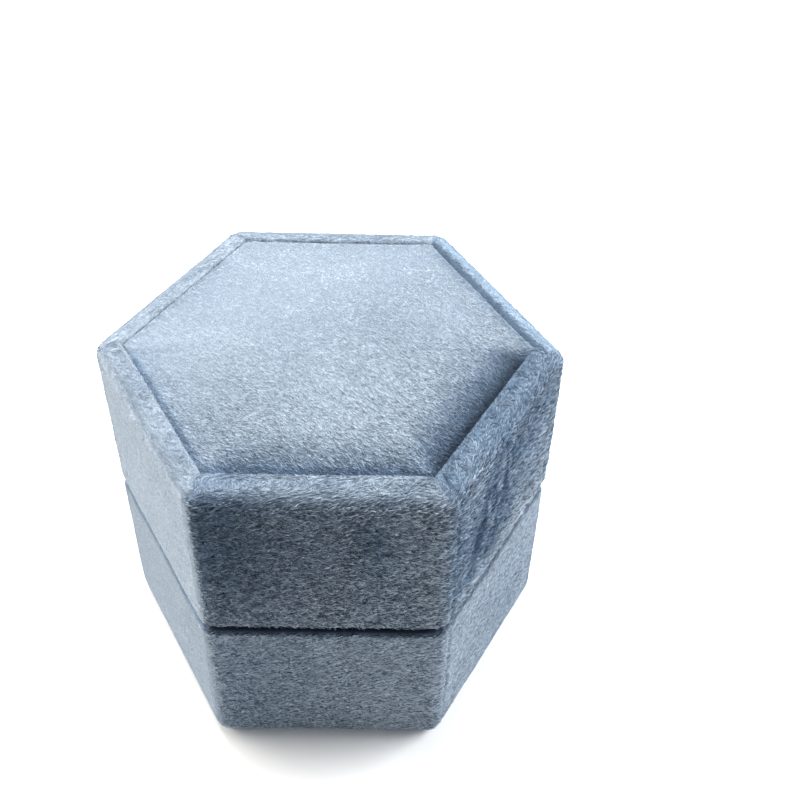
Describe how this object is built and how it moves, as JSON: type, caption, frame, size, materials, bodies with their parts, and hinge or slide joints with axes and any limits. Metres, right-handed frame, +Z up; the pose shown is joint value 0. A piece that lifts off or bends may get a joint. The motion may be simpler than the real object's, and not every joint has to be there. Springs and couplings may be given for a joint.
{
  "type": "ring box",
  "caption": "Hexagonal velvet-covered keepsake box with a padded lift-off lid, a raised guiding collar and a slotted pad that holds rings upright.",
  "frame": {"origin": "centre of the hexagonal face that the box rests on", "axes": "+Z up out of the base, the way the lid lifts; +X to a corner of the hexagon; -Y out of the flat front"},
  "size_m": [0.057, 0.05, 0.0471],
  "materials": {
    "velvet": "matte",
    "lining_velvet": "matte",
    "greyboard": "matte",
    "card": "matte",
    "foam": "matte",
    "base_paper": "matte"
  },
  "bodies": {
    "base": {"base_wall_board": "greyboard", "base_floor_board": "greyboard", "base_wall_velvet": "velvet", "base_bottom_cover": "base_paper", "collar_card": "card", "collar_velvet": "lining_velvet", "pad_card": "card", "ring_foam_front": "foam", "ring_foam_middle": "foam", "ring_foam_back": "foam", "ring_velvet_front": "lining_velvet", "ring_velvet_middle": "lining_velvet", "ring_velvet_back": "lining_velvet"},
    "lid": {"lid_wall_board": "greyboard", "lid_deck_board": "greyboard", "lid_wall_velvet": "velvet", "lid_top_card": "card", "lid_top_foam": "foam", "lid_top_velvet": "velvet", "lid_ceiling_card": "card", "lid_ceiling_velvet": "lining_velvet"}
  },
  "joints": [
    {"name": "lid_lift", "type": "slide", "parent": "base", "child": "lid", "axis": [0, 0, 1], "range_m": [0, 0.045]}
  ]
}
